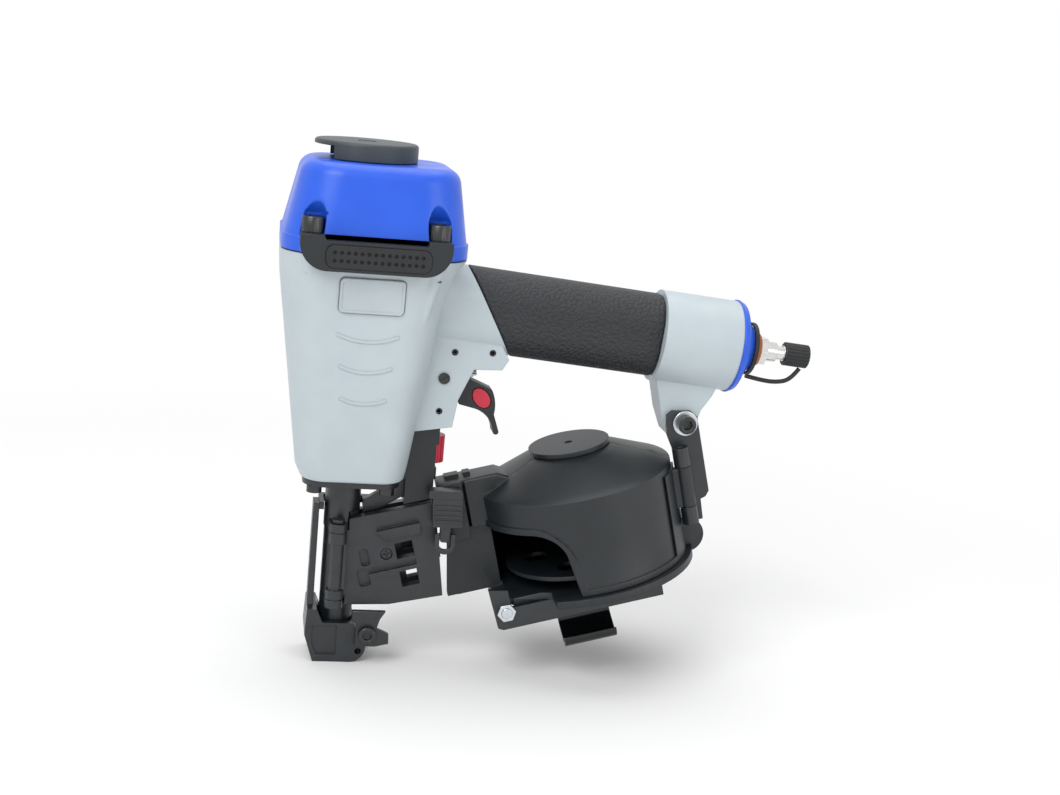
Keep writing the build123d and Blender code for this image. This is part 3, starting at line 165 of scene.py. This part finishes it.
def leather_grain_rubber(name, shade, other):
    """Overmoulded rubber with a leather grain: rounded pebbles, with painted shade darkening the
    creases between them.
    """
    material, tree, shader, place = new_finish(name, 0.62, ior=1.52)
    pebbles = add(tree, "TexVoronoi",
                  {"Scale": per_metre(1.5), "Smoothness": 0.25, "Randomness": 1.0},
                  {"Vector": place}, feature="SMOOTH_F1")
    # painted shade: the colour is lighter on each pebble's crown and darker towards its edge, in
    # the creases
    ramp = add(tree, "ValToRGB", links={"Fac": pebbles.outputs["Distance"]})
    ramp.color_ramp.elements[0].position = 0.15
    ramp.color_ramp.elements[1].position = 0.75
    ramp.color_ramp.elements[0].color = linear(other)
    ramp.color_ramp.elements[1].color = linear(shade)
    tree.links.new(ramp.outputs["Color"], shader.inputs["Base Color"])
    crowns = add(tree, "Math", {0: 1.0}, {1: pebbles.outputs["Distance"]}, operation="SUBTRACT")
    relief(tree, shader, crowns.outputs[0], 0.6, 1.0, 0.8)
    return material


def moulded_rubber(name, shade, other, roughness):
    """Plain moulded rubber: matt, with a faint bloom."""
    material, tree, shader, place = new_finish(name, roughness, ior=1.52)
    tint(tree, shader, place, shade, other, 5)
    # the mould's skin is finer than this, drawn at 0.6 mm so that it shows
    skin = add(tree, "TexNoise", {"Scale": per_metre(0.6), "Detail": 3.0}, {"Vector": place})
    relief(tree, shader, skin.outputs["Fac"], 0.04, 0.4, 0.4)
    return material


def phosphated_steel(name, shade, other, roughness):
    """Investment-cast steel, shot blasted and phosphated black: a dry grain with a dull sheen."""
    material, tree, shader, place = new_finish(name, roughness, ior=1.6)
    tint(tree, shader, place, shade, other, 7)
    gloss_drift(tree, shader, place, roughness - 0.08, roughness + 0.08, 6)
    # blasting grit leaves pits near 0.2 mm, drawn at 0.7 mm so that they show
    grain = add(tree, "TexNoise", {"Scale": per_metre(0.7), "Detail": 6.0, "Roughness": 0.65},
                {"Vector": place})
    relief(tree, shader, grain.outputs["Fac"], 0.07, 0.5, 0.5)
    return material


def bright_metal(name, shade, other, roughness, lines_mm):
    """Turned or plated steel: bright, with fine tool lines under the plating."""
    material, tree, shader, place = new_finish(name, roughness, metallic=1.0)
    tint(tree, shader, place, shade, other, 4)
    lines = add(tree, "TexNoise", {"Scale": per_metre(lines_mm), "Detail": 2.0}, {"Vector": place})
    relief(tree, shader, lines.outputs["Fac"], 0.02, 0.25, 0.25)
    return material


def gloss_enamel(name, shade, other, roughness):
    """Thick gloss enamel or gloss plastic: a smooth skin with a clear reflection."""
    material, tree, shader, place = new_finish(name, roughness, ior=1.5)
    tint(tree, shader, place, shade, other, 15)
    flow = add(tree, "TexNoise", {"Scale": per_metre(4), "Detail": 1.0}, {"Vector": place})
    relief(tree, shader, flow.outputs["Fac"], 0.05, 0.2, 0.4)
    return material


FINISHES = {
    "painted_body": enamelled_casting("silver enamel on magnesium", "#B3BEC4", "#B9C4C9", 0.40),
    "blue_cap": enamelled_casting("blue enamel on magnesium", "#1B55D2", "#215CDB", 0.36),
    "black_plastic": textured_nylon("black glass-filled nylon", "#0F1519", "#151B20", 0.46),
    "black_steel": phosphated_steel("black phosphated steel", "#12171B", "#1A2025", 0.38),
    "gloss_black": gloss_enamel("gloss black enamel", "#0B0C0E", "#101215", 0.12),
    "black_screws": phosphated_steel("black oxide steel", "#0F1113", "#17191C", 0.3),
    "grip_rubber": leather_grain_rubber("leather-grain rubber", "#1B1E21", "#24282C"),
    "soft_rubber": moulded_rubber("black nitrile rubber", "#101214", "#181A1C", 0.6),
    "exhaust_grey": textured_nylon("grey glass-filled nylon", "#2B3439", "#343D42", 0.5),
    "red_plastic": gloss_enamel("red acetal", "#BE2338", "#C92C44", 0.3),
    "plate_metal": enamelled_casting("satin grey plate", "#B0BABF", "#B8C2C6", 0.38),
    "zinc": bright_metal("bright zinc plated steel", "#C4CAD0", "#D3D8DC", 0.26, 1.2),
    "chrome": bright_metal("nickel plated steel", "#CFCFCD", "#DCDCDA", 0.14, 1.5),
    "fibre_seal": moulded_rubber("orange fibre washer", "#A5552A", "#B56434", 0.55),
    "machined_steel": bright_metal("ground steel", "#A4A6A8", "#B2B4B6", 0.3, 0.8),
    "spring_steel": bright_metal("bright spring wire", "#9A9C9F", "#A9ABAE", 0.3, 0.8),
    "aluminium": bright_metal("anodised aluminium", "#BBBDBF", "#C8CACC", 0.35, 1.0),
}


# ---------------------------------------------------------------- rubber tether
def make_tether():
    """Limp rubber cord from the ring on the end cap's boss to the dust cap."""
    route = [(194.4, 150.9), (201.5, 149.3), (210.5, 148.4), (218.0, 150.2), (221.8, 156.1)]
    curve = bpy.data.curves.new("tether_cord", "CURVE")
    curve.dimensions = "3D"
    curve.resolution_u = 16
    curve.bevel_depth = 1.1 * MM
    curve.bevel_resolution = 5
    curve.use_fill_caps = True
    line = curve.splines.new("NURBS")
    line.points.add(len(route) - 1)
    for point, (x, z) in zip(line.points, route):
        point.co = (x * MM, 0, z * MM, 1)
    line.order_u = 3
    line.use_endpoint_u = True
    curve.materials.append(FINISHES["soft_rubber"])
    tether = bpy.data.objects.new("tether_cord", curve)
    bpy.context.scene.collection.objects.link(tether)
    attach(tether, "tool_body")
    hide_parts("cap_tether")


make_tether()


# ---------------------------------------------------------------- working parts
NODE_SLOT = {part["node"]: part["material_slot"] for part in frame["record"]["subparts"]}
NODE_BODY = {}
for body_name, members in frame["record"]["behaviour"]["bodies"].items():
    NODE_BODY.update({member: body_name for member in members})


def finish_cad_nodes():
    for name, node in frame["nodes"].items():
        node.data.materials.clear()
        node.data.materials.append(FINISHES[NODE_SLOT[name]])


finish_cad_nodes()


# ---------------------------------------------------------------- making pieces
CREASE = radians(35)
BEVEL_FROM = radians(32)
MERGE_DISTANCE = 0.005 * MM
DRUM_LEAN = radians(15)
DRUM_PIECES = ("magazine_cover", "magazine_body")


def finished_piece(shape, name, body, slot):
    """Turns a bmesh into an object with its finish, smooth but for its creases."""
    mesh = bpy.data.meshes.new(name)
    shape.to_mesh(mesh)
    shape.free()
    mesh.materials.append(FINISHES[slot])
    mesh.shade_smooth()
    mesh.set_sharp_from_angle(angle=CREASE)
    piece = bpy.data.objects.new(name, mesh)
    bpy.context.scene.collection.objects.link(piece)
    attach(piece, body)
    return piece


def ring_cuts(shape):
    """Cuts a drum piece across its leaning axis, so that its long faces shade evenly."""
    drum_axis = Vector((-sin(DRUM_LEAN), 0, cos(DRUM_LEAN)))
    # heights that miss the drum's own edges
    for ring in range(15):
        height = (40.37 + 4 * ring) * MM
        everything = shape.verts[:] + shape.edges[:] + shape.faces[:]
        bmesh.ops.bisect_plane(shape, geom=everything, dist=0.002 * MM,
                               plane_co=drum_axis * height, plane_no=drum_axis)


def eased_node(name, edge_mm):
    """A copy of a working part with its sharp edges rounded off, which stands for it."""
    shape = bmesh.new()
    shape.from_mesh(frame["nodes"][name].data)
    bmesh.ops.remove_doubles(shape, verts=shape.verts, dist=MERGE_DISTANCE)
    bmesh.ops.dissolve_degenerate(shape, edges=shape.edges, dist=MERGE_DISTANCE)
    if name in DRUM_PIECES:
        ring_cuts(shape)
    else:
        bmesh.ops.dissolve_limit(shape, angle_limit=radians(0.6), verts=shape.verts,
                                 edges=shape.edges)
    piece = finished_piece(shape, name + "_eased", NODE_BODY[name], NODE_SLOT[name])
    rounding = piece.modifiers.new("rounded edges", "BEVEL")
    rounding.width = edge_mm * MM
    rounding.segments = 2
    rounding.limit_method = "ANGLE"
    rounding.angle_limit = BEVEL_FROM
    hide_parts(name)


# width of each part's rounded edges, in millimetres
EASED = {
    "housing": 0.8, "cylinder_cap": 1.2, "exhaust_deflector": 0.5, "side_pad_plate": 0.6,
    "side_pad_insert": 0.25, "nameplate": 0.3, "grip_sleeve": 1.0, "end_cap": 0.7,
    "nose": 0.4, "nose_door": 0.5, "contact_foot": 0.9, "foot_hook": 0.5, "foot_screw": 0.4,
    "contact_link": 0.3, "arm_guard": 0.4, "trigger": 0.6, "magazine_body": 0.5,
    "magazine_cover": 0.5, "magazine_bracket": 0.4, "guide_rail": 0.35, "guide_lever": 0.5,
    "door_latch": 0.35, "latch_bail": 0.4, "feed_cylinder": 0.6, "nose_screws": 0.3,
    "exhaust_screw": 0.3, "bracket_screw": 0.4, "bracket_washer": 0.25, "rail_bolt": 0.4,
    "shingle_guide": 0.3, "tether_ring": 0.3, "nail_tray": 0.3, "air_plug": 0.25,
    "dust_cap": 0.4, "door_screw": 0.2,
    "trigger_insert": 0.3, "depth_wheel": 0.4, "thread_seal": 0.3, "feed_piston": 0.3,
}
for node_name, edge_mm in EASED.items():
    eased_node(node_name, edge_mm)


# ---------------------------------------------------------------- fastenings and turned pieces
HEAD_RADIUS = 5.0
HEAD_HEIGHT = 7.1
KNURL_TEETH = 30
CHAMFER = 0.5
SOCKET_RADIUS = 0.62
SOCKET_FLAT = 0.47


def stand(shape, foot, along):
    """Moves a shape made on Z so that it starts at foot and points along."""
    turn = Vector(along).to_track_quat("Z", "Y").to_matrix().to_4x4()
    bmesh.ops.transform(shape, matrix=Matrix.Translation(foot) @ turn, verts=shape.verts)


def socket_screw(name, foot, along, body, slot):
    """Cap screw head with a knurled side and a hexagon socket, made of a toothed ring."""
    shape = bmesh.new()
    rim = bmesh.ops.create_circle(shape, cap_ends=False, segments=2 * KNURL_TEETH,
                                  radius=HEAD_RADIUS * MM)["verts"]
    for index, point in enumerate(rim):
        point.co.xy *= 1.0 if index % 2 else 0.965
    wall = bmesh.ops.extrude_edge_only(shape, edges=shape.edges[:])["geom"]
    crown = [item for item in wall if isinstance(item, bmesh.types.BMVert)]
    bmesh.ops.translate(shape, vec=(0, 0, (HEAD_HEIGHT - CHAMFER) * MM), verts=crown)
    crown_edges = [item for item in wall if isinstance(item, bmesh.types.BMEdge)]
    for radius, height in ((0.92, CHAMFER), (SOCKET_RADIUS, 0.0)):
        wall = bmesh.ops.extrude_edge_only(shape, edges=crown_edges)["geom"]
        crown = [item for item in wall if isinstance(item, bmesh.types.BMVert)]
        crown_edges = [item for item in wall if isinstance(item, bmesh.types.BMEdge)]
        for point in crown:
            reach = point.co.xy.length
            point.co.xy *= radius * HEAD_RADIUS * MM / reach
            point.co.z += height * MM
    # hexagon socket: the last ring is pulled onto a hexagon, then sunk and closed
    for point in crown:
        angle = (Vector((1, 0)).angle_signed(point.co.xy) + 2 * pi) % (pi / 3) - pi / 6
        point.co.xy *= (SOCKET_FLAT / SOCKET_RADIUS) / cos(angle)
    wall = bmesh.ops.extrude_edge_only(shape, edges=crown_edges)["geom"]
    floor_points = [item for item in wall if isinstance(item, bmesh.types.BMVert)]
    floor_edges = [item for item in wall if isinstance(item, bmesh.types.BMEdge)]
    bmesh.ops.translate(shape, vec=(0, 0, -0.5 * HEAD_HEIGHT * MM), verts=floor_points)
    bmesh.ops.contextual_create(shape, geom=floor_edges)
    bmesh.ops.contextual_create(shape, geom=[e for e in shape.edges if e.is_boundary])
    bmesh.ops.recalc_face_normals(shape, faces=shape.faces)
    stand(shape, Vector(foot) * MM, along)
    return finished_piece(shape, name, body, slot)


def make_cap_screws():
    """The two near screws sit on the bumper's tabs, the two far ones on the cap's flange."""
    for x in (-23.8, 32.6):
        for y, seat in ((-36.0, 211.4), (36.0, 209.0)):
            side = "near" if y < 0 else "far"
            end = "front" if x < 0 else "rear"
            socket_screw(f"cap_screw_{side}_{end}", (x, y, seat), (0, 0, 1),
                                      "tool_body", "black_screws")
    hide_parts("cap_screws")


make_cap_screws()


# ---------------------------------------------------------------- floor and light
def seen_ray(tree):
    """One for rays that show the room itself: the camera's, mirrored or through glass."""
    sight = add(tree, "LightPath")
    seen = add(tree, "Math",
               links={0: sight.outputs["Is Camera Ray"], 1: sight.outputs["Is Glossy Ray"]},
               operation="MAXIMUM")
    shown = add(tree, "Math",
                links={0: seen.outputs[0], 1: sight.outputs["Is Transmission Ray"]},
                operation="MAXIMUM")
    return shown.outputs[0]


def make_floor():
    """White paper under the tool, which glows to plain white a short way off."""
    material, tree, shader, place = new_finish("matt white paper", 0.9)
    tint(tree, shader, place, "#F6F6F6", "#F8F8F8", 300)
    distance = add(tree, "VectorMath", links={0: place}, operation="LENGTH")
    far = add(tree, "MapRange", {"From Min": 0.25, "From Max": 0.65},
              {"Value": distance.outputs["Value"]}, interpolation_type="SMOOTHSTEP")
    share = add(tree, "Math", links={0: far.outputs["Result"], 1: seen_ray(tree)},
                operation="MULTIPLY")
    glow = add(tree, "Emission", {"Color": (1, 1, 1, 1), "Strength": 1.0})
    paper = add(tree, "MixShader",
                links={0: share.outputs[0], 1: shader.outputs[0], 2: glow.outputs[0]})
    output = next(node for node in tree.nodes if node.type == "OUTPUT_MATERIAL")
    tree.links.new(paper.outputs[0], output.inputs["Surface"])
    shape = bmesh.new()
    bmesh.ops.create_grid(shape, x_segments=1, y_segments=1, size=30.0)
    mesh = bpy.data.meshes.new("paper_floor")
    shape.to_mesh(mesh)
    shape.free()
    mesh.materials.append(material)
    floor = bpy.data.objects.new("paper_floor", mesh)
    bpy.context.scene.collection.objects.link(floor)


TOOL_MIDDLE = Vector((0.09, 0, 0.13))


def add_lamp(name, power, width, place):
    lamp = bpy.data.lights.new(name, "AREA")
    lamp.energy = power
    lamp.size = width
    source = bpy.data.objects.new(name, lamp)
    source.location = place
    source.rotation_euler = (Vector(place) - TOOL_MIDDLE).to_track_quat("Z", "Y").to_euler()
    bpy.context.scene.collection.objects.link(source)


def light_room():
    add_lamp("soft_key", 11.0, 0.8, (-0.6, -0.9, 1.1))
    add_lamp("soft_fill", 3.0, 0.8, (0.95, -0.95, 0.45))
    add_lamp("top_panel", 8.0, 1.2, (0.1, 0.25, 1.35))
    world = bpy.data.worlds.new("white_room")
    bpy.context.scene.world = world
    world.use_nodes = True
    tree = world.node_tree
    tree.nodes.clear()
    strength = add(tree, "MapRange", {"To Min": 0.5, "To Max": 1.0}, {"Value": seen_ray(tree)})
    sky = add(tree, "Background", {"Color": (1, 1, 1, 1)}, {"Strength": strength.outputs["Result"]})
    add(tree, "OutputWorld", links={"Surface": sky.outputs[0]})


make_floor()
light_room()
bpy.context.scene.view_settings.view_transform = "Standard"
